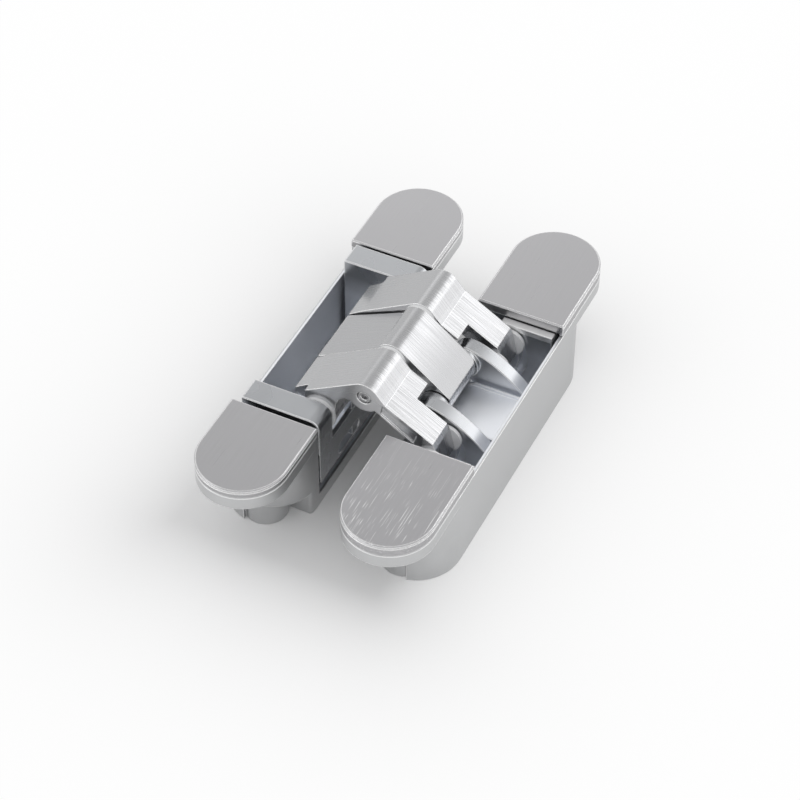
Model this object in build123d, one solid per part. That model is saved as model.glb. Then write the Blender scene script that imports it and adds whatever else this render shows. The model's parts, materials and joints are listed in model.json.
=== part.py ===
from build123d import *
import math
import os

# Concealed door hinge: two leaves let into door and frame, joined by an outer lever and a middle lever
# that cross on one centre pin. It is drawn as photographed, fully open, which is also the rest pose.
# X runs across the leaves, Y along the hinge, Z up. All sizes are in millimetres.
# Heights inside a leaf are measured from its face, so a height of -6 lies 6 mm below the cover tops.

# Leaf outline and depth
FACE_Z = 27.5            # height of the cover tops above the bottom of the housings
LEAF_X = 19.9            # centre of a leaf, to either side of the hinge centre
LEAF_R = 12.0            # half the width of a leaf, also its end radius, set by a 24 mm cutter
FLANGE_Y = 48.7          # centre of the flange end arcs
LEFT_COVER_T = 2.4       # thickness of the covers
RIGHT_COVER_T = 3.3
FLANGE_T = 3.8           # thickness of the flange under the covers
STEP_H = -20.0           # height where the ends of the deep body step in
STEP_X = 22.7            # outer side of the step notch
BOSS_X = 19.4            # clamp screw boss
BOSS_R = 5.75
EDGE = 0.25              # small chamfer along visible edges

# Housing pocket
WALL_X = 30.9            # inner face of the outer side wall
LEFT_RIM = -6.2          # top of the left outer side wall
RIGHT_RIM = -3.6         # top of the right outer side wall
POCKET_H = -25.8         # pocket floor
RAIL_H = -24.0           # top of the low rail on the inner side
RAIL_X = 9.4             # inner face of that rail

# Adjustment travel and clearances
SIDE_TRAVEL = 0.8        # left carriage, across the leaf
HEIGHT_TRAVEL = 1.5      # right carriage, along the hinge
SLIP = 0.05              # flat faces that slide or clamp
FIT = 0.04               # radial play of a pin in a moving hole
SET = 0.02               # radial play of a pin or screw that is held
GAP = 0.3                # free gap beside moving faces
GUIDE_PLAY = 0.2         # play of a guide pin in its curved groove

# Linkage, in the plane across the hinge
PIVOT_X = 12.5           # pivot pins in the leaves, to either side
PIVOT_H = -5.0
CENTRE_H = 5.5           # centre pin
CLOSED_GAP = 6.0         # distance between the leaf faces when the hinge is closed
GUIDE_X = 18.6           # guide pins at the lever ends
GUIDE_H = -8.0
KNUCKLE_R = 4.4
BOSS_LEVER_R = 4.5       # round boss of the outer lever about its leaf pivot
MIDDLE_BOSS_R = 3.6      # boss of the middle lever
PAD_R = 4.2              # raised pads beside that boss
PIVOT_PIN_R = 2.0
CENTRE_PIN_R = 1.9
GUIDE_PIN_R = 1.0
DISC_R = 4.0             # guide discs
WASHER_R = 4.8           # washers at the left pivots
CENTRE_WASHER_R = 4.2    # washers between the knuckles
DISC_T = 1.0

# Bands along the hinge, as distances from its middle
FORK_Y = 3.6             # inner faces of the middle lever's fork
GUIDE_RIB_Y = 3.0        # half width of the rib inside that fork
MIDDLE_Y = 7.7           # half width of the middle lever at its knuckle and on the right
PLATE_Y = 8.2            # half width of its left plate
OUTER_IN = 8.8           # inner face of an outer lever member
RIB_IN = 9.3             # carriage ribs
RIB_OUT = 13.5
RELIEF_Y = 14.8          # inner face of the outer lever beside the ribs
OUTER_OUT = 23.1         # outer face of an outer lever member
WALL_Y = OUTER_OUT + DISC_T + GAP    # inner faces of the carriage end walls
NOTCH_Y = 20.7           # start of the notch in the outer lever's left corner
ARM_HOLLOW = 0.5         # depth of the hollow in the side of an arm
PIN_INSET = 0.3          # the centre pin ends this far inside the outer lever
GUIDE_DEPTH = 2.2        # depth of the guide grooves

# Carriages
CARRIAGE_X = 8.1         # inner side of a carriage, toward the other leaf
CARRIAGE_OUT_X = 29.8    # outer side
LEFT_END_Y = WALL_Y + 7.1     # ends of the left carriage
RIGHT_END_Y = WALL_Y + 6.5    # ends of the right carriage
BAR_Y = WALL_Y + 2.2          # the right carriage's end bar stands up to here
BAR_H = -3.0
BRIDGE_H = 0.2           # top of the left carriage's end bridges
SHOULDER_H = -4.0        # top of the right carriage behind its bars
FLOOR_H = -24.3
UNDER_H = -25.5          # underside of a carriage
SIDE_TOP_H = -11.0       # top of a carriage's inner side wall
SIDE_LOW_H = -21.0       # its lower edge above the rail
SIDE_T = 1.4
SEAT_H = -11.0           # smooth seat between the right ribs
BEAD_H = -10.1           # top of the bead along each right rib
BEAD_IN = 7.7
BEAD_OUT = 8.5
TONGUE_W = 8.0
TONGUE_TOP = -5.7
TONGUE_LOW = -8.2

# Ends of the housings, set back from the carriages inside them
POCKET_Y = RIGHT_END_Y + HEIGHT_TRAVEL + 0.4
BODY_Y = POCKET_Y + 1.2       # centre of the deep body end arcs
STEP_Y = POCKET_Y + 4.1       # end of the body below the step
BOSS_Y = POCKET_Y + 7.0
TONGUE_END = BOSS_Y + 3.0
CHANNEL_END = TONGUE_END + 0.7
RIM_RUN = 2.7            # the right rim runs on below the covers

# Screws
CLAMP_R = 2.0
CLAMP_HEAD_R = 3.5
CLAMP_HEAD_T = 2.2
CLAMP_LENGTH = 16.0
HOLE_X = 6.0             # fixing holes, to either side of a leaf's centre line
HOLE_Y = 52.0
HOLE_R = 2.3
SINK_R = 4.2
PEG_X = 9.3              # cover pegs
PEG_Y = 38.0
PEG_R = 0.9
RIGHT_COVER_Y = BAR_Y + 0.2
LEFT_COVER_Y = LEFT_END_Y + 1.1
SEAM = 0.2               # depth of the shadow line round a cover

# Visible rib on the right carriage, as points of its curved top
RIB_TOP = [(13.4, -0.55), (19.0, -2.5), (23.1, -5.0), (25.8, -7.1), (28.8, -10.1)]

os.makedirs("parts", exist_ok=True)


def band(face, near, far):
    """Extrudes a face drawn in the cross plane from one Y to another."""
    return extrude(Plane.XZ.offset(-near) * face, amount=-(far - near))


def outline(points):
    """Face in the cross plane from (x, height) points."""
    lifted = [(x, h + FACE_Z) for x, h in points]
    return make_face(Polyline(*lifted, close=True))


def prism(points, near, far):
    return band(outline(points), near, far)


def rod(x, height, radius, near, far):
    """Round bar along Y."""
    return band(Pos(x, height + FACE_Z) * Circle(radius), near, far)


def block(x0, x1, y0, y1, h0, h1):
    """Box between two corners, with heights measured from the leaf face."""
    size = (abs(x1 - x0), abs(y1 - y0), abs(h1 - h0))
    centre = ((x0 + x1) / 2, (y0 + y1) / 2, (h0 + h1) / 2 + FACE_Z)
    return Pos(*centre) * Box(*size)


def both_ends(shape):
    """A shape and its mirror image at the other end of the hinge."""
    return shape + mirror(shape, about=Plane.XZ)


def far_end(shape):
    return mirror(shape, about=Plane.XZ)


def right_side(shape):
    return mirror(shape, about=Plane.YZ)


def turned(point, angle, about):
    """Turns a point of the cross plane counter-clockwise about another."""
    dx = point[0] - about[0]
    dz = point[1] - about[1]
    c = math.cos(angle)
    s = math.sin(angle)
    return (about[0] + c * dx - s * dz, about[1] + s * dx + c * dz)


def fold_angles():
    """Angles in radians through which the outer lever turns in the left leaf and in the right leaf."""
    arm = math.hypot(PIVOT_X, CENTRE_H - PIVOT_H)
    start = math.atan2(CENTRE_H - PIVOT_H, PIVOT_X)
    end = math.pi - math.asin((CLOSED_GAP / 2 - PIVOT_H) / arm)
    return end - start, math.pi - (end - start)


def guide_path(count=13):
    """Path of the middle lever's guide pin in the left leaf while the hinge closes."""
    lift, swing = fold_angles()
    points = []
    for i in range(count):
        share = i / (count - 1)
        centre = turned((0, CENTRE_H), lift * share, (-PIVOT_X, PIVOT_H))
        arm = turned((-GUIDE_X, GUIDE_H - CENTRE_H), swing * share, (0, 0))
        points.append((centre[0] + arm[0], centre[1] + arm[1]))
    return points


def beside(path, width):
    """Points at one side of the guide path, without those that fall too near another part of it."""
    points = []
    for i in range(1, len(path) - 1):
        dx = path[i + 1][0] - path[i - 1][0]
        dz = path[i + 1][1] - path[i - 1][1]
        length = math.hypot(dx, dz)
        x = path[i][0] - dz / length * width
        z = path[i][1] + dx / length * width
        nearest = min(math.hypot(x - p[0], z - p[1]) for p in path)
        if nearest > 0.998 * abs(width):
            points.append((x, z + FACE_Z))
    step = max(1, len(points) // 12)
    return points[:-1:step] + [points[-1]]


def groove(half_width):
    """Face swept by a disc that follows the guide path: two offset curves and two round ends."""
    path = guide_path(121)
    inner = beside(path, half_width)
    outer = beside(path, -half_width)
    first = end_tip(path[1], path[0], half_width)
    last = end_tip(path[-2], path[-1], half_width)
    edges = [
        Spline(*outer),
        ThreePointArc(outer[-1], last, inner[-1]),
        Spline(*inner[::-1]),
        ThreePointArc(inner[0], first, outer[0]),
    ]
    return make_face(edges)


def end_tip(before, at, half_width):
    """Outermost point of a round groove end."""
    length = math.hypot(at[0] - before[0], at[1] - before[1])
    ux = (at[0] - before[0]) / length
    uz = (at[1] - before[1]) / length
    return (at[0] + ux * half_width, at[1] + uz * half_width + FACE_Z)


def stadium(centre_y, h0, h1, radius=LEAF_R):
    """Left-hand stadium block, its end arcs centred at plus and minus centre_y."""
    face = SlotCenterToCenter(2 * centre_y, 2 * radius, rotation=90)
    low = Plane.XY.offset(h0 + FACE_Z) * Pos(-LEAF_X, 0) * face
    return extrude(low, amount=h1 - h0)


# Housings


def low_body():
    """Bottom of the deep body, notched at both ends beside the screw bosses."""
    shape = stadium(BODY_Y, -FACE_Z, STEP_H)
    inner = LEAF_X - LEAF_R
    notch = block(-STEP_X, -inner + 1, STEP_Y, 60, -FACE_Z, STEP_H)
    shape = shape - both_ends(notch)
    upright = shape.edges().filter_by(Axis.Z)
    corner = [e for e in upright if abs(abs(e.center().Y) - STEP_Y) < 0.01 and e.center().X > -LEAF_X]
    shape = fillet(corner, 1.0)
    boss = Pos(-BOSS_X, BOSS_Y, (STEP_H + FACE_Z) / 2) * Cylinder(BOSS_R, STEP_H + FACE_Z)
    return shape + both_ends(boss)


def fixing_holes(cover_t):
    """Countersunk through holes in both flange ends."""
    top = -cover_t + FACE_Z
    cutter = Cylinder(HOLE_R, 20)
    depth = SINK_R - HOLE_R
    sink = Pos(0, 0, -depth / 2 + 0.01) * Cone(HOLE_R, SINK_R + 0.01, depth + 0.02)
    cutter = Pos(0, 0, top) * (cutter + sink)
    pair = Pos(-LEAF_X - HOLE_X, HOLE_Y) * cutter + Pos(-LEAF_X + HOLE_X, HOLE_Y) * cutter
    return both_ends(pair)


def channel(side_play, end_y):
    """Channel in the end of a housing for the carriage's clamp tongue."""
    half = TONGUE_W / 2 + side_play
    return block(-BOSS_X - half, -BOSS_X + half, POCKET_Y - 1, end_y, TONGUE_LOW - SLIP, 1)


def clamp_hole():
    hole = Pos(-BOSS_X, BOSS_Y, TONGUE_LOW + FACE_Z - CLAMP_LENGTH / 2) * Cylinder(CLAMP_R + SET, CLAMP_LENGTH)
    return both_ends(hole)


def peg_holes(cover_t):
    hole = Pos(0, 0, -cover_t - 1.5 + FACE_Z) * Cylinder(PEG_R + SET, 3.0 + 0.4)
    pair = Pos(-LEAF_X - PEG_X, PEG_Y) * hole + Pos(-LEAF_X + PEG_X, PEG_Y) * hole
    return both_ends(pair)


def housing(rim, rim_run, cover_t, side_play):
    """Housing of the left leaf; the right one is its mirror image with its own rim and channel."""
    flange_low = -cover_t - FLANGE_T
    flange = stadium(FLANGE_Y, flange_low, -cover_t)
    flange = chamfer(flange.faces().sort_by(Axis.Z)[-1].edges(), EDGE)
    shape = flange + stadium(BODY_Y, STEP_H, flange_low) + low_body()
    shape = shape - block(-WALL_X, -LEAF_X + LEAF_R + 5, -POCKET_Y, POCKET_Y, RAIL_H, 1)
    shape = shape - block(-WALL_X, -RAIL_X, -POCKET_Y, POCKET_Y, POCKET_H, RAIL_H + 1)
    rim_end = POCKET_Y + rim_run
    shape = shape - block(-LEAF_X - LEAF_R - 1, -WALL_X + 0.5, -rim_end, rim_end, rim, 1)
    shape = shape - both_ends(channel(side_play, CHANNEL_END))
    return shape - clamp_hole() - peg_holes(cover_t) - fixing_holes(cover_t)


# Covers


def shadow_line(high, low):
    """Ring cut round the side of a leaf between two heights."""
    return stadium(FLANGE_Y, low, high, LEAF_R + 1) - stadium(FLANGE_Y, low - 1, high + 1, LEAF_R - SEAM)


def cover(start_y, cover_t):
    """Near left cover: rounded outer end, straight inner edge, small bright chamfer and two pegs."""
    shape = stadium(FLANGE_Y, -cover_t, 0)
    outer = FLANGE_Y + 2 * LEAF_R
    shape = shape & block(-LEAF_X - 2 * LEAF_R, 0, -outer, -start_y, -cover_t - 1, 1)
    rim = shape.edges().filter_by(lambda e: e.center().Z > FACE_Z - 0.01)
    shape = chamfer(rim, 1.4 * EDGE)
    shape = shape - shadow_line(-0.7, -0.95) - shadow_line(-cover_t + SEAM, -cover_t - 1)
    over_bar = start_y + HEIGHT_TRAVEL + GAP
    shape = shape - block(-WALL_X, 0, -over_bar, 0, -cover_t - 1, BAR_H + GAP)
    peg = Pos(0, 0, -cover_t - 1.25 + FACE_Z) * Cylinder(PEG_R, 2.5 + 0.2)
    return shape + Pos(-LEAF_X - PEG_X, -PEG_Y) * peg + Pos(-LEAF_X + PEG_X, -PEG_Y) * peg


# Carriages


def tongue(end_y, slot_x, slot_y):
    """Far clamp tongue with its slotted hole."""
    half = TONGUE_W / 2
    shape = block(-BOSS_X - half, -BOSS_X + half, WALL_Y + 2, end_y, TONGUE_LOW, TONGUE_TOP)
    width = 2 * (CLAMP_R + 0.2)
    slot = Box(width + 2 * slot_x, width + 2 * slot_y, 6)
    round_edges = slot.edges().filter_by(Axis.Z)
    slot = fillet(round_edges, width / 2 - 0.01)
    return shape - Pos(-BOSS_X, BOSS_Y, TONGUE_LOW + FACE_Z) * slot


def side_wall(end_y):
    """Inner side wall with its rounded lower step behind the rail, floor and slots."""
    shape = block(-CARRIAGE_X - SIDE_T, -CARRIAGE_X, -end_y, end_y, SIDE_LOW_H, SIDE_TOP_H)
    low_x = -RAIL_X - SIDE_TRAVEL - GAP
    shape = shape + block(low_x - SIDE_T, -CARRIAGE_X, -end_y, end_y, SIDE_LOW_H, SIDE_LOW_H + 1.6)
    shape = shape + block(low_x - SIDE_T, low_x, -end_y, end_y, UNDER_H, SIDE_LOW_H + 1)
    shape = shape + block(-CARRIAGE_OUT_X, low_x, -end_y, end_y, UNDER_H, FLOOR_H)
    return shape


def side_slot():
    """Long rounded slot through the near half of a side wall, repeated at the far end."""
    slot = Plane.YZ * Pos(-15.9, -18.4 + FACE_Z) * SlotCenterToCenter(8.2, 3.6)
    cut = extrude(slot, amount=-20)
    return both_ends(cut)


def end_wall(end_y, top):
    """Far end wall of a carriage."""
    low_x = -RAIL_X - SIDE_TRAVEL - GAP
    shape = block(-CARRIAGE_OUT_X, -CARRIAGE_X, WALL_Y, end_y, SIDE_LOW_H, top)
    return shape + block(-CARRIAGE_OUT_X, low_x, WALL_Y, end_y, UNDER_H, SIDE_LOW_H + 1)


def pivot_rib():
    """Left rib that carries the inner end of a pivot pin, kept clear of the folding plate."""
    eye = rod(-PIVOT_X, PIVOT_H, BOSS_LEVER_R - 0.1, RIB_IN, RIB_OUT)
    low = SIDE_LOW_H + 0.8
    post = [(-8.3, -6.3), (-8.4, low), (-10.6, low), (-10.6, -9.0), (-12.0, -8.0)]
    return eye + prism(post, RIB_IN, RIB_OUT)


def guide_rib():
    """Rib in the middle of the left carriage with the through groove for the middle lever's pin."""
    path = guide_path(121)
    back = beside(path, -2.9)
    low = FLOOR_H + FACE_Z
    front = (path[0][0] + 2.8, path[0][1] - 0.8 + FACE_Z)
    crown = (path[0][0] + 1.6, path[0][1] + 2.4 + FACE_Z)
    edges = [
        Spline(*back),
        Polyline(back[-1], (-22.9, low), (-13.0, low), (-15.6, low + 9.0), front),
        ThreePointArc(front, crown, back[0]),
    ]
    shape = band(make_face(edges), -GUIDE_RIB_Y, GUIDE_RIB_Y)
    return shape - band(groove(GUIDE_PIN_R + GUIDE_PLAY), -GUIDE_RIB_Y - 1, GUIDE_RIB_Y + 1)


def left_carriage():
    ends = end_wall(LEFT_END_Y, BRIDGE_H)
    nose = ends.edges().filter_by(Axis.Y).filter_by(
        lambda e: abs(e.center().X + CARRIAGE_X) < 0.01 and e.center().Z > FACE_Z - 1)
    ends = fillet(nose, 3.0)
    rim = ends.edges().filter_by(lambda e: e.center().Z > FACE_Z + BRIDGE_H - 0.01)
    ends = chamfer(rim, EDGE)
    shape = side_wall(LEFT_END_Y) - side_slot() + both_ends(ends + pivot_rib()) + guide_rib()
    shape = shape + both_ends(tongue(TONGUE_END, SIDE_TRAVEL, 0))
    hole = rod(-PIVOT_X, PIVOT_H, PIVOT_PIN_R + SET, RIB_IN - 1, LEFT_END_Y - 3)
    return shape - both_ends(hole)


def rib_face():
    """Curved gusset of the right carriage around the right pivot pin."""
    top = [(x, h + FACE_Z) for x, h in RIB_TOP]
    foot = CARRIAGE_OUT_X
    start = (PIVOT_X - BOSS_LEVER_R + 0.1, PIVOT_H + FACE_Z)
    crown = (PIVOT_X - 2.6, PIVOT_H + 3.55 + FACE_Z)
    low = FLOOR_H + FACE_Z
    step = SIDE_LOW_H + 0.8 + FACE_Z
    edges = [
        ThreePointArc(top[0], crown, start),
        Polyline(start, (8.4, step), (12.0, step), (12.0, low), (foot, low), (foot, top[-1][1] - 1.1), top[-1]),
        Spline(*top[::-1]),
    ]
    return make_face(edges)


def seat():
    """Smooth seat between the ribs, hollowed round the middle lever's boss, with a bead along each rib."""
    shape = block(RAIL_X + 1.2, CARRIAGE_OUT_X, -RIB_IN - 0.5, RIB_IN + 0.5, FLOOR_H, SEAT_H)
    bead = block(PIVOT_X + 2, CARRIAGE_OUT_X, BEAD_IN, BEAD_OUT, SEAT_H - 1, BEAD_H)
    crest = bead.edges().filter_by(Axis.X).group_by(Axis.Z)[-1]
    bead = fillet(crest, 0.3)
    groove_cut = block(PIVOT_X + 2, CARRIAGE_OUT_X + 1, BEAD_OUT, RIB_IN, SEAT_H - 0.6, SEAT_H + 1)
    shape = shape + both_ends(bead) - both_ends(groove_cut)
    return shape - rod(PIVOT_X, PIVOT_H, 6.2, -RIB_IN, RIB_IN)


def right_carriage():
    """Right carriage, built on the right side directly apart from the shared walls."""
    shared = side_wall(RIGHT_END_Y) - side_slot() + both_ends(end_wall(RIGHT_END_Y, BAR_H))
    shoulder = block(-CARRIAGE_OUT_X - 1, 0, BAR_Y, RIGHT_END_Y + 1, SHOULDER_H, 1)
    corner = block(-15.5, 0, WALL_Y - 1, RIGHT_END_Y + 1, -6.5, 1)
    shared = shared - both_ends(shoulder + corner) + both_ends(tongue(TONGUE_END - HEIGHT_TRAVEL, 0, 4.0))
    track = band(groove(GUIDE_PIN_R + GUIDE_PLAY), WALL_Y - 1, WALL_Y + GUIDE_DEPTH)
    shape = right_side(shared - both_ends(track))
    rib_track = right_side(band(groove(GUIDE_PIN_R + GUIDE_PLAY), RIB_OUT - GUIDE_DEPTH, RIB_OUT + 1))
    rib = band(rib_face(), RIB_IN, RIB_OUT)
    crest = rib.edges().filter_by(lambda e: e.geom_type == GeomType.BSPLINE)
    rib = chamfer(crest, EDGE) - rib_track
    pad = rod(PIVOT_X, PIVOT_H, PAD_R, MIDDLE_Y + GAP, RIB_IN + 0.5)
    shape = shape + both_ends(rib + pad) + seat()
    return shape - rod(PIVOT_X, PIVOT_H, PIVOT_PIN_R + SET, -RIB_OUT + 1, RIB_OUT - 1)


# Levers


def tangent_point(tip, side):
    """Where a straight line from a plate tip touches the knuckle, on its upper side."""
    dx = tip[0]
    dz = tip[1] - CENTRE_H
    reach = math.hypot(dx, dz)
    angle = math.atan2(dz, dx) + side * math.acos(KNUCKLE_R / reach)
    return (KNUCKLE_R * math.cos(angle), CENTRE_H + KNUCKLE_R * math.sin(angle))


LEFT_TIP = (-20.5, -2.0)
LEFT_BEND = (-16.4, 0.9)       # the left plates turn down a little beyond this crease
RIGHT_TIP = (19.6, -4.1)
RIGHT_TOP = [(3.3, 8.41), (5.0, 6.3), (6.0, 5.15), (18.8, -2.45)]    # the right arm lies below its knuckle
MIDDLE_TIP = (16.1, -1.8)
MIDDLE_CREASE = (-3.7, 6.15)   # the middle plate lies lower than its knuckle


def knuckle(near, far):
    return rod(0, CENTRE_H, KNUCKLE_R, near, far)


def corner_notch():
    """Rounded notch in the plate's corner beside the end bridge."""
    shape = block(LEFT_TIP[0] - 5, LEFT_BEND[0], NOTCH_Y, OUTER_OUT + 5, -12, 12)
    inside = [e for e in shape.edges().filter_by(Axis.Z) if abs(e.center().X - LEFT_BEND[0]) < 0.01]
    return fillet(inside, 1.0)


def outer_member():
    """Far member of the outer lever."""
    left_top = tangent_point(LEFT_BEND, -1)
    web = [left_top, LEFT_BEND, LEFT_TIP, (-20.5, -3.4), (-17.0, -4.6), (-13.0, -7.0), (-8.2, -6.0), (-7.9, -0.5),
           (-6.9, 1.9), (-5.4, 2.9), (-3.6, 2.9), (-2.0, 1.8), (0, CENTRE_H)]
    skirt = [left_top, LEFT_BEND, LEFT_TIP, (-20.4, -3.4), (-19.2, -3.4), (-5.2, 4.6), (0, CENTRE_H)]
    arm = RIGHT_TOP + [RIGHT_TIP, (21.0, -10.3), (20.3, -11.0), (17.0, -11.0), (15.3, -9.5),
           (13.3, -4.8), (2.7, 2.4), (0, 2.4), (0, CENTRE_H)]
    lip = RIGHT_TOP[:3] + [(10.6, 2.4), (10.4, 2.0), (7.2, 1.6), (2.7, 2.4), (0, CENTRE_H)]
    shape = knuckle(OUTER_IN, OUTER_OUT)
    shape = shape + prism(web, RELIEF_Y, OUTER_OUT) + prism(skirt, OUTER_IN, RELIEF_Y)
    shape = shape + prism(arm, RELIEF_Y, OUTER_OUT) + prism(lip, OUTER_IN, RELIEF_Y)
    shape = shape + rod(-PIVOT_X, PIVOT_H, BOSS_LEVER_R, RELIEF_Y, OUTER_OUT)
    hollow = [(5.0, 4.7), (14.4, -1.3), (13.6, -4.4), (4.6, 1.75)]
    shape = shape - prism(hollow, OUTER_OUT - ARM_HOLLOW, OUTER_OUT + 1) - corner_notch()
    shape = shape - rod(-PIVOT_X, PIVOT_H, PIVOT_PIN_R + FIT, RELIEF_Y - 1, OUTER_OUT + 1)
    shape = shape - rod(0, CENTRE_H, CENTRE_PIN_R + SET, OUTER_IN - 1, OUTER_OUT + 1)
    return shape - rod(GUIDE_X, GUIDE_H, GUIDE_PIN_R + SET, RELIEF_Y - 1, OUTER_OUT + 1)


def middle_lever():
    """Middle lever: a full width plate, a fork on the left and a round boss on the right pivot."""
    right_top = tangent_point(MIDDLE_TIP, 1)
    plate = [MIDDLE_CREASE, LEFT_TIP, (-20.4, -3.3), (-19.4, -3.5), (-5.0, 4.0), (0, CENTRE_H)]
    cheek = [MIDDLE_CREASE, LEFT_TIP, (-20.9, -7.0), (-20.2, -10.0), (-17.2, -10.2), (-14.5, -6.5),
             (-5.0, 1.9), (-2.0, 1.8), (0, CENTRE_H)]
    toe = [right_top, MIDDLE_TIP, (16.4, -2.7), (14.6, -4.2), (12.5, -8.0), (8.9, -5.0), (7.9, -0.5),
           (5.6, 2.2), (2.0, 1.8), (0, CENTRE_H)]
    toe = prism(toe, -MIDDLE_Y, MIDDLE_Y)
    corner = [e for e in toe.edges() if e.center().X > 16 and e.center().Y > MIDDLE_Y - 0.01]
    toe = fillet(corner, 1.2)
    flank = [MIDDLE_CREASE, (-3.0, 9.6), (-8.0, 9.6), (-8.0, 4.1)]
    shape = knuckle(-MIDDLE_Y, MIDDLE_Y) - prism(flank, -MIDDLE_Y - 1, MIDDLE_Y + 1)
    left = prism(plate, -PLATE_Y, PLATE_Y) + both_ends(prism(cheek, FORK_Y, PLATE_Y))
    left = left - both_ends(rod(0, CENTRE_H, CENTRE_WASHER_R + GAP, MIDDLE_Y, PLATE_Y + 1))
    shape = shape + left + toe
    shape = shape + rod(PIVOT_X, PIVOT_H, MIDDLE_BOSS_R, -MIDDLE_Y, MIDDLE_Y)
    shape = shape - rod(PIVOT_X, PIVOT_H, PIVOT_PIN_R + FIT, -MIDDLE_Y - 1, MIDDLE_Y + 1)
    shape = shape - rod(0, CENTRE_H, CENTRE_PIN_R + FIT, -MIDDLE_Y - 1, MIDDLE_Y + 1)
    return shape - rod(-GUIDE_X, GUIDE_H, GUIDE_PIN_R + SET, -PLATE_Y - 1, PLATE_Y + 1)


# Pins, discs and screws


def ring(x, height, radius, hole, near, far):
    return rod(x, height, radius, near, far) - rod(x, height, hole, near - 1, far + 1)


def centre_pin():
    """Centre pin with a hexagon socket in each end."""
    end = OUTER_OUT - PIN_INSET
    shape = rod(0, CENTRE_H, CENTRE_PIN_R, -end, end)
    rim = shape.edges().filter_by(GeomType.CIRCLE)
    shape = chamfer(rim, 0.3)
    hexagon = Pos(0, CENTRE_H + FACE_Z) * RegularPolygon(1.0, 6)
    return shape - both_ends(band(hexagon, end - 1.4, end + 1))


def clamp_screw():
    """Far left clamp screw: cylinder head with a hexagon socket, its shank in the housing boss."""
    under = TONGUE_TOP + SLIP + FACE_Z
    low = TONGUE_LOW + FACE_Z - CLAMP_LENGTH + 1
    head = Pos(0, 0, under + CLAMP_HEAD_T / 2) * Cylinder(CLAMP_HEAD_R, CLAMP_HEAD_T)
    shank = Pos(0, 0, (low + under) / 2 + 0.5) * Cylinder(CLAMP_R, under - low + 1)
    socket = Plane.XY.offset(under + CLAMP_HEAD_T) * RegularPolygon(1.5, 6)
    shape = head + shank - extrude(socket, amount=-1.5)
    return Pos(-BOSS_X, BOSS_Y) * shape


def pivot_pin():
    """Far left pivot pin, held in the rib and in the end wall."""
    return rod(-PIVOT_X, PIVOT_H, PIVOT_PIN_R, RIB_IN + 0.8, LEFT_END_Y - 4)


def write(shape, name):
    export_step(shape, f"parts/{name}.step")


left_housing = housing(LEFT_RIM, 0, LEFT_COVER_T, SIDE_TRAVEL + GAP)
right_housing = right_side(housing(RIGHT_RIM, RIM_RUN, RIGHT_COVER_T, GAP))
left_cover = cover(LEFT_COVER_Y, LEFT_COVER_T)
right_cover = right_side(cover(RIGHT_COVER_Y, RIGHT_COVER_T))
outer_far = outer_member()
disc_inner = ring(GUIDE_X, GUIDE_H, DISC_R, GUIDE_PIN_R + SET, RIB_OUT + GAP, RELIEF_Y)
disc_outer = ring(GUIDE_X, GUIDE_H, DISC_R, GUIDE_PIN_R + SET, OUTER_OUT, OUTER_OUT + DISC_T)
washer = ring(-PIVOT_X, PIVOT_H, WASHER_R, PIVOT_PIN_R + FIT, OUTER_OUT, OUTER_OUT + DISC_T)
centre_washer = ring(0, CENTRE_H, CENTRE_WASHER_R, CENTRE_PIN_R + FIT, MIDDLE_Y + SLIP, OUTER_IN)
guide_pin = rod(GUIDE_X, GUIDE_H, GUIDE_PIN_R, RIB_OUT - GUIDE_DEPTH + GAP, WALL_Y + GUIDE_DEPTH - GAP)
clamp = clamp_screw()
pivot = pivot_pin()

write(left_housing, "left_housing")
write(right_housing, "right_housing")
write(left_cover, "left_cover_near")
write(far_end(left_cover), "left_cover_far")
write(right_cover, "right_cover_near")
write(far_end(right_cover), "right_cover_far")
write(left_carriage(), "left_carriage")
write(right_carriage(), "right_carriage")
write(far_end(outer_far), "outer_lever_near")
write(outer_far, "outer_lever_far")
write(middle_lever(), "middle_lever")
write(centre_pin(), "centre_pin")
write(far_end(pivot), "left_pivot_pin_near")
write(pivot, "left_pivot_pin_far")
write(rod(PIVOT_X, PIVOT_H, PIVOT_PIN_R, -RIB_OUT + 1.2, RIB_OUT - 1.2), "right_pivot_pin")
write(far_end(guide_pin), "guide_pin_near")
write(guide_pin, "guide_pin_far")
write(rod(-GUIDE_X, GUIDE_H, GUIDE_PIN_R, -PLATE_Y, PLATE_Y), "middle_guide_pin")
write(far_end(disc_inner), "guide_disc_near_inner")
write(far_end(disc_outer), "guide_disc_near_outer")
write(disc_inner, "guide_disc_far_inner")
write(disc_outer, "guide_disc_far_outer")
write(far_end(washer), "left_washer_near")
write(washer, "left_washer_far")
write(far_end(centre_washer), "centre_washer_near")
write(centre_washer, "centre_washer_far")
write(far_end(clamp), "left_clamp_screw_near")
write(clamp, "left_clamp_screw_far")
write(right_side(far_end(clamp)), "right_clamp_screw_near")
write(right_side(clamp), "right_clamp_screw_far")
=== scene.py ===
# %% [markdown]
# # A concealed door hinge, dressed for the camera
#
# The real hinge is a die-cast and stamped metal fitting: two long leaves that vanish into door and frame,
# and a bridge of crossed levers between them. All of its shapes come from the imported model, and this script
# adds none. It gives the pieces their finishes, lights them softly and sets up the camera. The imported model
# is loaded first, because every finish is measured in its coordinates.

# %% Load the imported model
import json

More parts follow.
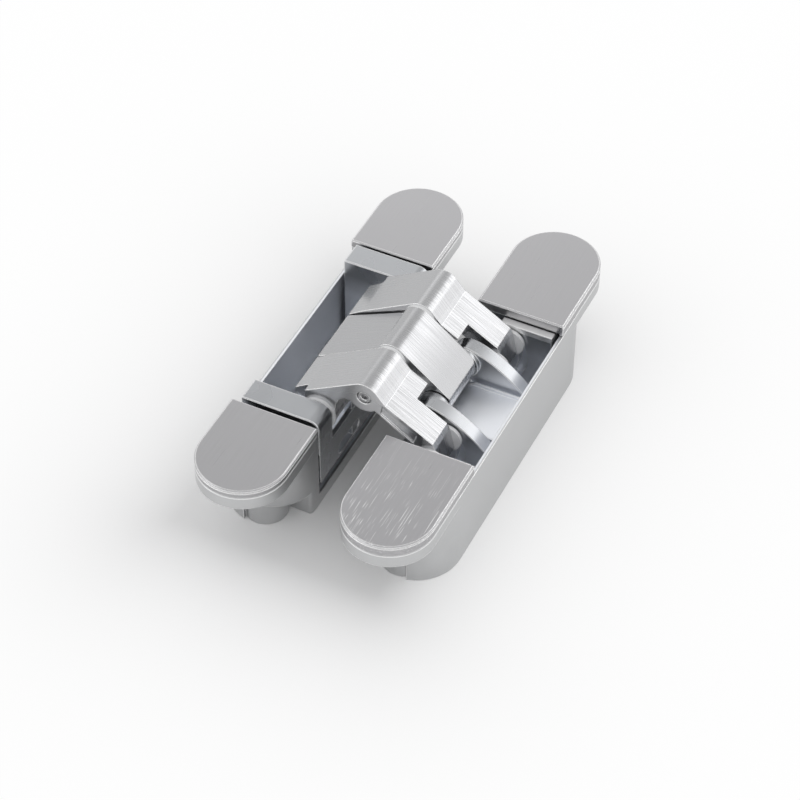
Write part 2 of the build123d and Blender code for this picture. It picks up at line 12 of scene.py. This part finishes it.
import bpy
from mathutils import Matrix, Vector


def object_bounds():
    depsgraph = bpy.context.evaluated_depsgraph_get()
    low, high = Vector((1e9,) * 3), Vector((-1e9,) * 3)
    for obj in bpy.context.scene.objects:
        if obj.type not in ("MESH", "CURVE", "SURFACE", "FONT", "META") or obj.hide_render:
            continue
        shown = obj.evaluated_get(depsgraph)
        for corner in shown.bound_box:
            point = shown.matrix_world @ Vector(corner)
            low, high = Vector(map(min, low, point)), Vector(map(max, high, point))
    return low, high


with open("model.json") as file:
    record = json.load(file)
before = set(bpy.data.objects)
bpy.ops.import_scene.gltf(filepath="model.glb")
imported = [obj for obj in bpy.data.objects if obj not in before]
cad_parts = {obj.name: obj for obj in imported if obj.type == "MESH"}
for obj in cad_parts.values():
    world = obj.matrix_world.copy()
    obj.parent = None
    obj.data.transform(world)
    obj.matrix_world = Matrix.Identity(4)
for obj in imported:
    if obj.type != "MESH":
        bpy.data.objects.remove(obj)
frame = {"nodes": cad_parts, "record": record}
cad_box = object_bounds()
MM = 0.001
print("nodes", len(frame["nodes"]), "box", cad_box)


# %% [markdown]
# ## Finishes
#
# Nearly everything here is bare or plated metal, so what tells the pieces apart is how each was finished:
# the covers look brushed along the leaf, the levers across their ridge, the cast housings have a faint
# grain, and the carriages inside are smoother and darker. A finish could be a picture wrapped on the piece,
# but noise computed from the piece's own coordinates needs no unwrapping, moves with the piece and can be
# stretched into brush lines. So a finish is a tree of nodes, and these helpers build one line by line.

# %% Helpers for node trees
def adder(tree):
    """A function that adds a node to a tree, sets it and wires it."""
    tree.nodes.clear()

    def add(kind, inputs=None, **settings):
        node = tree.nodes.new(kind)
        for key, value in settings.items():
            setattr(node, key, value)
        for key, value in (inputs or {}).items():
            if isinstance(value, bpy.types.NodeSocket):
                tree.links.new(value, node.inputs[key])
            else:
                node.inputs[key].default_value = value
        return node

    return add


def new_finish(name):
    """An empty material and its adder."""
    mat = bpy.data.materials.new(name)
    mat.use_nodes = True
    return mat, adder(mat.node_tree)


def calc(add, operation, first, second=0.0):
    """One sum."""
    return add("ShaderNodeMath", {0: first, 1: second}, operation=operation).outputs[0]


def vector_calc(add, operation, first, second=(0, 0, 0)):
    """One sum on vectors."""
    return add("ShaderNodeVectorMath", {0: first, 1: second}, operation=operation).outputs[0]


def ramp(add, value, low, high, out_low, out_high):
    """Maps a range of a value to another range, clamped."""
    return add("ShaderNodeMapRange", {0: value, 1: low, 2: high, 3: out_low, 4: out_high}).outputs[0]


# %% Helpers for colours
def blend(add, share, first, second):
    """Mixes two colours by a share. Each is three numbers or a socket."""
    ends = {}
    for name, colour in (("A", first), ("B", second)):
        ends[name] = colour if isinstance(colour, bpy.types.NodeSocket) else (*colour, 1)
    return add("ShaderNodeMix", {"Factor": share, **ends}, data_type="RGBA").outputs["Result"]


def shaded(colour, by):
    """A colour made lighter or darker by a factor."""
    return [c * by for c in colour]


# %% Noise and edges
MOST_NOISE = (0.3, 0.7)        # nearly all of a noise's values lie between these
EDGE_LEAN = (0.99, 0.955)      # the bevelled normal leans this far on a flat and on a sharp edge


def stretched_noise(add, place, stretch, detail=2.0):
    """Noise that varies quickly along some axes and slowly along others, in lines per metre."""
    mapped = add("ShaderNodeMapping", {"Vector": place, "Scale": stretch})
    noise = add("ShaderNodeTexNoise", {"Vector": mapped.outputs[0], "Scale": 1.0, "Detail": detail})
    return noise.outputs["Fac"]


def edge_mask(add, radius):
    """The bevelled normal, and a mask that is one on sharp edges and zero on flats."""
    soft = add("ShaderNodeBevel", {"Radius": radius}, samples=6).outputs[0]
    flat = add("ShaderNodeNewGeometry").outputs["Normal"]
    lean = add("ShaderNodeVectorMath", {0: soft, 1: flat}, operation="DOT_PRODUCT").outputs["Value"]
    return soft, ramp(add, lean, *EDGE_LEAN, 0.0, 1.0)


# %% [markdown]
# ## Painted light in some places
#
# Light bounces about between the walls of a pocket, and the photograph shows the metal in there lighter
# than this recipe makes it. More light would also wash out the covers, and a second material would need the
# faces sorted by hand. So a box in the hinge's coordinates says where the metal's colour is made lighter, as
# painted bounce light. It is mirrored in x and y, because both leaves and both ends are much alike.

# %% A box that a finish can use
def within_box(add, place, box):
    """One inside a box, given as centre, half size and softness, and its mirror images in x and y."""
    centre, half, soft = box
    apart = vector_calc(add, "ABSOLUTE", place)
    apart = vector_calc(add, "SUBTRACT", apart, centre)
    apart = vector_calc(add, "ABSOLUTE", apart)
    apart = vector_calc(add, "SUBTRACT", apart, half)
    x, y, z = add("ShaderNodeSeparateXYZ", {0: apart}).outputs
    most = calc(add, "MAXIMUM", calc(add, "MAXIMUM", x, y), z)
    return ramp(add, most, -soft, soft, 1.0, 0.0)


# %% [markdown]
# ## Slopes with painted light
#
# The slope of each lever that falls to the right leaf is much lighter than the plate on the other side,
# because it faces the light, and brush lines run down it. Nothing but its direction sets it apart, so the
# finish asks which way the surface faces and paints that light into the colour: a painted highlight on the
# slope, lighter still on its steep part and on the end faces, and painted shade on the slope below a given
# height. The lines are darker streaks with a little depth, and they are drawn weaker on the steep part, where
# the photograph shows nearly plain light metal.

# %% The slopes of a lever, with painted light
# The first three are painted light: a painted highlight on the slope, painted shade below it and painted
# light on the end faces.
PAINTED_SLOPE_HIGHLIGHT = 1.28            # these shades are against the lever's own colour
PAINTED_LOW_SLOPE_SHADE = 0.72
PAINTED_END_FACE_LIGHT = 1.5
STREAK_SHADE = 0.4
STREAK_STRENGTH = 0.36
STREAK_DEPTH = 0.02 * MM
STEEP_STREAKS = 0.35           # share of the streaks that is left on the steep part


def paint_light_on_slopes(add, coords, tone, relief, colour, brushed):
    """Adds painted highlight and painted shade on the slopes, with streaks, to a tone and a relief. Returns
    both.
    """
    lines, low, high, painted_steep_highlight = brushed
    place = coords.outputs["Object"]
    facing = add("ShaderNodeSeparateXYZ", {0: coords.outputs["Normal"]}).outputs
    up = add("ShaderNodeSeparateXYZ", {0: place}).outputs[2]
    end_face = ramp(add, calc(add, "ABSOLUTE", facing[1]), 0.6, 0.9, 0.0, 1.0)
    slope = ramp(add, facing[0], 0.12, 0.45, 0.0, 1.0)
    steep = ramp(add, facing[0], 0.60, 0.72, 0.0, 1.0)
    painted_lit_part = calc(add, "MULTIPLY", slope, ramp(add, up, low, high, 0.0, 1.0))
    plain = calc(add, "SUBTRACT", slope, painted_lit_part)
    cut = stretched_noise(add, place, lines, 2.0)
    streaked = calc(add, "MULTIPLY", painted_lit_part, ramp(add, steep, 0.0, 1.0, 1.0, STEEP_STREAKS))
    streaks = calc(add, "MULTIPLY", streaked, ramp(add, cut, 0.40, 0.58, STREAK_STRENGTH, 0.0))
    # Painted light by which way the surface faces: end faces and slopes lighter, the slope below a given
    # height darker, the steep part lighter again. The streaks are the brush lines.
    tone = blend(add, end_face, tone, shaded(colour, PAINTED_END_FACE_LIGHT))
    tone = blend(add, painted_lit_part, tone, shaded(colour, PAINTED_SLOPE_HIGHLIGHT))
    tone = blend(add, plain, tone, shaded(colour, PAINTED_LOW_SLOPE_SHADE))
    tone = blend(add, steep, tone, shaded(colour, painted_steep_highlight))
    tone = blend(add, streaks, tone, shaded(colour, STREAK_SHADE))
    deep = calc(add, "MULTIPLY", cut, streaked)
    relief = add("ShaderNodeBump", {"Height": deep, "Distance": STREAK_DEPTH, "Strength": 1.0,
                                    "Normal": relief})
    return tone, relief.outputs[0]


# %% [markdown]
# ## Scratches
#
# The near right cover carries fine bright scratches that run along the hinge, more of them toward its
# rounded end. Each could be a thin strip of its own, but noise that is stretched a long way and cut off
# near its peaks leaves just such thin marks. Short ones come in patches, and a few long ones lie between.

# %% The scratches of a handled cover
PATCHES = (240, 90, 240)       # patches of short scratches per metre, along x, y and z
SHORT_PEAKS = (0.68, 0.74)     # only noise above these shows as a scratch
LONG_PEAKS = (0.745, 0.80)
LONG_STRETCH = (0.75, 0.375, 0.75)
WHITE = (1.0, 1.0, 1.0)


def scratches(add, place, tone, scratch):
    """Adds bright scratches to a tone, few at one place along y and most at another."""
    lines, few, most = scratch
    along = add("ShaderNodeSeparateXYZ", {0: place}).outputs[1]
    toward_end = ramp(add, along, few, most, 0.2, 1.0)
    patch = ramp(add, stretched_noise(add, place, PATCHES, 2.0), 0.42, 0.60, 0.1, 1.0)
    short = ramp(add, stretched_noise(add, place, lines, 0.0), *SHORT_PEAKS, 0.0, 1.0)
    short = calc(add, "MULTIPLY", short, calc(add, "MULTIPLY", toward_end, patch))
    long_lines = [n * by for n, by in zip(lines, LONG_STRETCH)]
    long = ramp(add, stretched_noise(add, place, long_lines, 0.0), *LONG_PEAKS, 0.0, 1.0)
    long = calc(add, "MULTIPLY", toward_end, long)
    return blend(add, calc(add, "MAXIMUM", short, long), tone, WHITE)


# %% [markdown]
# ## One recipe for all the metal
#
# On the real hinge the covers and levers are brushed, the castings have a faint grain, and the edges catch
# the light as thin bright lines, which here are painted white as a painted highlight. One recipe with a few
# settings makes all of these, which keeps the pieces looking like one product. Its order: the metal and its
# lines come first, then the painted light on the slopes and the scratches, and last the painted edge
# highlights, so that nothing covers them.

# %% The metal finish
CLOUDS = (90, 90, 90)          # patches of uneven sheen per metre
CLOUD_SHADE = 0.8
CLOUD_STRENGTH = 0.06
GRAIN = (4200, 4200, 4200)     # casting grain per metre
BRIGHT_ROUGHER = 0.12          # how much rougher the brighter metal is


def metal(name, colour, rough, lines, line_depth, grooves=0.06, speckle=0.0, edge=0.4 * MM, brushed=None,
          scratch=None, bright=()):
    """Plated metal with brush lines, uneven sheen, edges painted white as a highlight, and fine casting
    grain.

    lines is how many brush lines per metre run across x, y and z. The slope setting, when given, adds such
    lines to the slopes that face +x with a painted highlight, fades both in between two heights, below which
    the slope gets painted shade, says how light the painted highlight on the steep part is, and paints the
    end faces lighter. scratch adds bright scratches toward one end. bright lists boxes of painted light, each
    with the colour painted inside it.
    """
    mat, add = new_finish(name)
    coords = add("ShaderNodeTexCoord")
    place = coords.outputs["Object"]
    brush = stretched_noise(add, place, lines, 3.0)
    cloud = ramp(add, stretched_noise(add, place, CLOUDS, 3.0), *MOST_NOISE, 0.0, CLOUD_STRENGTH)
    soft, edges = edge_mask(add, edge)
    tone = blend(add, ramp(add, brush, *MOST_NOISE, 0.0, 1.0), shaded(colour, 1 - grooves), colour)
    tone = blend(add, cloud, tone, shaded(colour, CLOUD_SHADE))
    sheen = ramp(add, brush, 0.25, 0.75, rough - grooves, rough + grooves)
    in_any_box = 0.0
    # Inside each box the colour is replaced by a lighter one: painted light where the metal lies in shade.
    for box, inside in bright:
        within = within_box(add, place, box)
        tone = blend(add, within, tone, inside)
        in_any_box = calc(add, "MAXIMUM", within, in_any_box)
    if bright:
        sheen = calc(add, "ADD", sheen, calc(add, "MULTIPLY", in_any_box, BRIGHT_ROUGHER))
    relief = add("ShaderNodeBump", {"Height": brush, "Distance": line_depth, "Strength": 1.0,
                                    "Normal": soft}).outputs[0]
    if brushed:
        tone, relief = paint_light_on_slopes(add, coords, tone, relief, colour, brushed)
    if scratch:
        tone = scratches(add, place, tone, scratch)
    # Edges are painted white here: a painted highlight.
    tone = blend(add, edges, tone, WHITE)
    if speckle:
        grain = stretched_noise(add, place, GRAIN, 2.0)
        relief = add("ShaderNodeBump", {"Height": grain, "Distance": speckle, "Strength": 1.0,
                                        "Normal": relief}).outputs[0]
    shader = add("ShaderNodeBsdfPrincipled", {"Base Color": tone, "Metallic": 1.0, "Roughness": sheen,
                                              "Normal": relief})
    add("ShaderNodeOutputMaterial", {"Surface": shader.outputs[0]})
    return mat


# %% [markdown]
# ## Where light is painted on the metal
#
# There are three such boxes of painted light: the pocket of a housing, the part of a carriage that lies low
# in it, and the bars at the ends of the right carriage, which lie in a cover's shadow. The sizes are in
# metres and were read off the imported model. The colours were chosen by comparing renders with the
# photograph; the faint blue of the pocket colour is painted reflection.

# %% The boxes of painted light
POCKET_PAINTED_LIGHT = (0.92, 0.94, 0.98)
POCKET = (((0.0200, 0.0, 0.0145), (0.0114, 0.0334, 0.0130), 0.0002), POCKET_PAINTED_LIGHT)
BELOW = (((0.0550, 0.0, 0.0), (0.0440, 0.1, 0.0195), 0.0035), POCKET_PAINTED_LIGHT)
# The end bars lie in a cover's shadow and are painted white: painted light.
END_BARS = (((0.020, 0.0257, 0.0238), (0.015, 0.0016, 0.0010), 0.0001), WHITE)
print("bright boxes", len((POCKET, BELOW, END_BARS)))

# %% [markdown]
# ## The finishes and their settings
#
# Every slot of the imported model gets one finish. Three pieces differ from their fellows and get a finish of
# their own: the right carriage has painted light on its end bars, the middle lever gets its painted highlight
# only near its ridge and painted shade below, and the near right cover is scratched. The lines of a cover are
# close together across the hinge and long along it. Those of a lever are the other way round.

# %% Settings of each finish
COVER_LINES = (3600, 70, 3600)
LEVER_LINES = (15, 1500, 15)
SLOPE_LINES = (70, 4000, 70)
SCRATCH_LINES = (6000, 190, 6000)
FINISHES = {
    "casting": metal("plated_casting", (0.585, 0.59, 0.595), 0.38, (160, 160, 160), 0.004 * MM,
                     speckle=0.003 * MM, bright=[POCKET]),
    "carriage": metal("plated_carriage", (0.43, 0.44, 0.455), 0.28, (120, 120, 120), 0.002 * MM,
                      speckle=0.001 * MM, bright=[BELOW]),
    "cover": metal("brushed_cover", (0.44, 0.437, 0.447), 0.33, COVER_LINES, 0.003 * MM),
    # In each slope setting, the last number is how light the painted highlight on the steep part is.
    "lever": metal("brushed_lever", (0.45, 0.452, 0.46), 0.27, LEVER_LINES, 0.001 * MM,
                   grooves=0.015, brushed=(SLOPE_LINES, 0.0, 0.001, 1.7)),
    "pin": metal("turned_pin", (0.55, 0.55, 0.56), 0.28, (900, 900, 900), 0.004 * MM),
    "screw": metal("turned_screw", (0.40, 0.40, 0.41), 0.32, (900, 900, 900), 0.005 * MM),
}
CARRIAGE_WITH_PAINTED_LIGHT = metal("carriage_painted_light", (0.47, 0.48, 0.495), 0.28, (120, 120, 120), 0.002 * MM,
                        speckle=0.001 * MM, bright=[BELOW, END_BARS])
MIDDLE_LEVER = metal("brushed_middle_lever", (0.43, 0.432, 0.44), 0.27, LEVER_LINES, 0.001 * MM,
                     grooves=0.015, brushed=(SLOPE_LINES, 0.0285, 0.0350, 1.4))
HANDLED_COVER = metal("handled_cover", (0.44, 0.436, 0.448), 0.33, COVER_LINES, 0.003 * MM,
                      scratch=(SCRATCH_LINES, -0.036, -0.056))
print("metal finishes", sorted(FINISHES))


# %% [markdown]
# ## Plastic
#
# The discs and washers between the moving faces are taken to be moulded plastic, pale grey and a little
# waxy. They could share the metal finish with less shine, but metal tints what it mirrors and plastic
# doesn't, so it gets its own short finish with a fine moulded grain.

# %% The plastic finish
MOULD_GRAIN = (3500, 3500, 3500)
MOULD_CLOUDS = (220, 220, 220)
MOULD_SHADE = 0.92
MOULD_DEPTH = 0.012 * MM
MOULD_EDGE = 0.2 * MM


def moulded(name, colour):
    """Pale plastic with soft edges and uneven sheen."""
    mat, add = new_finish(name)
    place = add("ShaderNodeTexCoord").outputs["Object"]
    grain = stretched_noise(add, place, MOULD_GRAIN)
    cloud = stretched_noise(add, place, MOULD_CLOUDS)
    soft = add("ShaderNodeBevel", {"Radius": MOULD_EDGE}, samples=4).outputs[0]
    relief = add("ShaderNodeBump", {"Height": grain, "Distance": MOULD_DEPTH, "Strength": 1.0,
                                    "Normal": soft})
    shader = add("ShaderNodeBsdfPrincipled",
                 {"Base Color": blend(add, cloud, shaded(colour, MOULD_SHADE), colour),
                  "Roughness": ramp(add, cloud, *MOST_NOISE, 0.40, 0.55),
                  "Normal": relief.outputs[0]})
    add("ShaderNodeOutputMaterial", {"Surface": shader.outputs[0]})
    return mat


FINISHES["disc"] = moulded("moulded_disc", (0.80, 0.805, 0.815))
print("plastic", FINISHES["disc"].name)

# %% [markdown]
# ## Dressing the pieces
#
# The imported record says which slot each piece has. Going through that list gives every piece its finish and
# forgets none, and the three special pieces are changed afterwards.

# %% Give every node its finish
SPECIAL = {
    "right_cover_near": HANDLED_COVER,
    "middle_lever": MIDDLE_LEVER,
    "right_carriage": CARRIAGE_WITH_PAINTED_LIGHT,
}


def dress(name, finish):
    """Puts a finish in every material slot of a piece."""
    for slot in bpy.data.objects[name].material_slots:
        slot.material = finish


for entry in frame["record"]["subparts"]:
    dress(entry["node"], FINISHES[entry["material_slot"]])
for name, finish in SPECIAL.items():
    dress(name, finish)


# %% [markdown]
# ## Floor, light and camera
#
# The hinge lies on a seamless white sweep, the usual studio ground for hardware. Metal shows mostly what
# it reflects, so the white surroundings do most of the work and three lamps only shape it. More light on
# the object would make the floor white too, but it would also wash out the metal. So the floor and the
# world are white only to the camera and to reflections, which this helper picks out.

# %% What the camera and the reflections see
def seen_directly(add):
    """One for rays from the camera, or from a mirror or glass surface, and zero for light."""
    path = add("ShaderNodeLightPath").outputs
    seen = calc(add, "MAXIMUM", path["Is Camera Ray"], path["Is Glossy Ray"])
    return calc(add, "MAXIMUM", seen, path["Is Transmission Ray"])


# %% [markdown]
# Near the hinge the floor is plain matt white and takes its shadow. Further away it turns to pure white. The
# change is measured from a rectangle under the hinge and dies away smoothly, so it leaves no rim. The
# rectangle and the reach were chosen so that the shadow fades as it does in the photograph.

# %% The floor's finish
SHADOW_CENTRE = (-0.010, -0.004, 0.0)
SHADOW_HALF = (0.028, 0.049, 1.0)
SHADOW_REACH = 0.025
FAR_WHITE = 0.985
FLOOR_TONES = ((0.88, 0.88, 0.885), (0.90, 0.90, 0.90))
FLOOR_CLOUDS = (14, 14, 14)


def floor_finish():
    """Matt white near the hinge, where its shadow falls, and pure white further away."""
    mat, add = new_finish("white_sweep")
    place = add("ShaderNodeTexCoord").outputs["Object"]
    cloud = stretched_noise(add, place, FLOOR_CLOUDS)
    matt = add("ShaderNodeBsdfDiffuse", {"Color": blend(add, cloud, *FLOOR_TONES)})
    glow = add("ShaderNodeEmission", {"Color": (1, 1, 1, 1), "Strength": 1.0})
    away = vector_calc(add, "SUBTRACT", place, SHADOW_CENTRE)
    away = vector_calc(add, "ABSOLUTE", away)
    away = vector_calc(add, "SUBTRACT", away, SHADOW_HALF)
    away = vector_calc(add, "MAXIMUM", away)
    away = add("ShaderNodeVectorMath", {0: away}, operation="LENGTH").outputs["Value"]
    left = calc(add, "EXPONENT", calc(add, "DIVIDE", away, -SHADOW_REACH))
    share = calc(add, "MULTIPLY", seen_directly(add), calc(add, "SUBTRACT", FAR_WHITE, left))
    both = add("ShaderNodeMixShader", {0: share, 1: matt.outputs[0], 2: glow.outputs[0]})
    add("ShaderNodeOutputMaterial", {"Surface": both.outputs[0]})
    return mat


# %% Floor
FLOOR_SIZE = 6.0
FLOOR_DROP = 0.05 * MM         # keeps the floor just clear of the housings' flat bottoms
bpy.ops.mesh.primitive_plane_add(size=FLOOR_SIZE, location=(0, 0, cad_box[0][2] - FLOOR_DROP))
floor = bpy.context.object
floor.name = "sweep"
floor.data.materials.append(floor_finish())
print("floor", floor.name, "at height", round(floor.location.z, 5))


# %% [markdown]
# The world is white to the camera. What metal mirrors is a little darker straight overhead, as under a real
# ceiling, so that flat covers look grey while walls and slopes stay light. What lights the object is plain.

# %% World
OVERHEAD = (0.58, 0.86)        # the mirrored sky darkens between these heights, where 1 is straight up
OVERHEAD_STRENGTH = 0.7
PLAIN_STRENGTH = 0.78

world = bpy.data.worlds.new("studio")
bpy.context.scene.world = world
world.use_nodes = True
add = adder(world.node_tree)


def sky(strength):
    """White at one strength."""
    return add("ShaderNodeBackground", {"Color": (1, 1, 1, 1), "Strength": strength}).outputs[0]


upward = add("ShaderNodeSeparateXYZ", {0: add("ShaderNodeTexCoord").outputs["Generated"]}).outputs[2]
mirrored = sky(ramp(add, upward, *OVERHEAD, 1.0, OVERHEAD_STRENGTH))
camera_ray = add("ShaderNodeLightPath").outputs["Is Camera Ray"]
backdrop = add("ShaderNodeMixShader", {0: camera_ray, 1: mirrored, 2: sky(1.0)}).outputs[0]
mixed = add("ShaderNodeMixShader", {0: seen_directly(add), 1: sky(PLAIN_STRENGTH), 2: backdrop})
add("ShaderNodeOutputWorld", {0: mixed.outputs[0]})
print("world", world.name)


# %% [markdown]
# Of the three lamps, a broad one behind and to the right brightens the lever slopes that face it, a weak one
# behind and to the left draws the far edges, and one at the left front opens the shadows. All are large
# rectangles, because small lamps would draw hard spots on metal.

# %% Lamps
LAMP_AIM = (0, 0, 0.02)
LAMPS = {                      # each with its place, its size in metres and its power in watts
    "back_right": ((0.56, 0.63, 0.54), (0.62, 0.42), 0.85),
    "back_left": ((-0.50, 1.0, 0.75), (0.5, 0.3), 0.35),
    "front_left": ((-0.7, -0.6, 0.6), (0.6, 0.6), 0.8),
}


def facing_turn(place, aim):
    """The turn that points a lamp or camera from its place to what it aims at."""
    return (Vector(aim) - Vector(place)).to_track_quat("-Z", "Y").to_euler()


for name, (place, size, power) in LAMPS.items():
    data = bpy.data.lights.new(name, "AREA")
    data.shape = "RECTANGLE"
    data.size, data.size_y = size
    data.energy = power
    lamp = bpy.data.objects.new(name, data)
    bpy.context.scene.collection.objects.link(lamp)
    lamp.location = place
    lamp.rotation_euler = facing_turn(place, LAMP_AIM)
print("lamps", list(LAMPS))


# %% [markdown]
# The camera stands where the photograph was taken from: to the right of the hinge's near end, about 45
# degrees up, far enough away that the leaves stay nearly parallel. Its place and lens were fitted to the
# outlines in the photograph.

# %% Camera
CAMERA = Vector((198.23, -404.93, 471.38)) * MM
TARGET = Vector((5.93, -14.94, 27.5)) * MM
camera_data = bpy.data.cameras.new("camera")
camera_data.sensor_width = 36.0
camera_data.lens = 112.67
camera_data.clip_start = 0.01
camera = bpy.data.objects.new("camera", camera_data)
bpy.context.scene.collection.objects.link(camera)
camera.location = CAMERA
camera.rotation_euler = facing_turn(CAMERA, TARGET)
bpy.context.scene.camera = camera
bpy.context.scene.view_settings.view_transform = "Standard"
print("camera", [round(v, 4) for v in CAMERA])
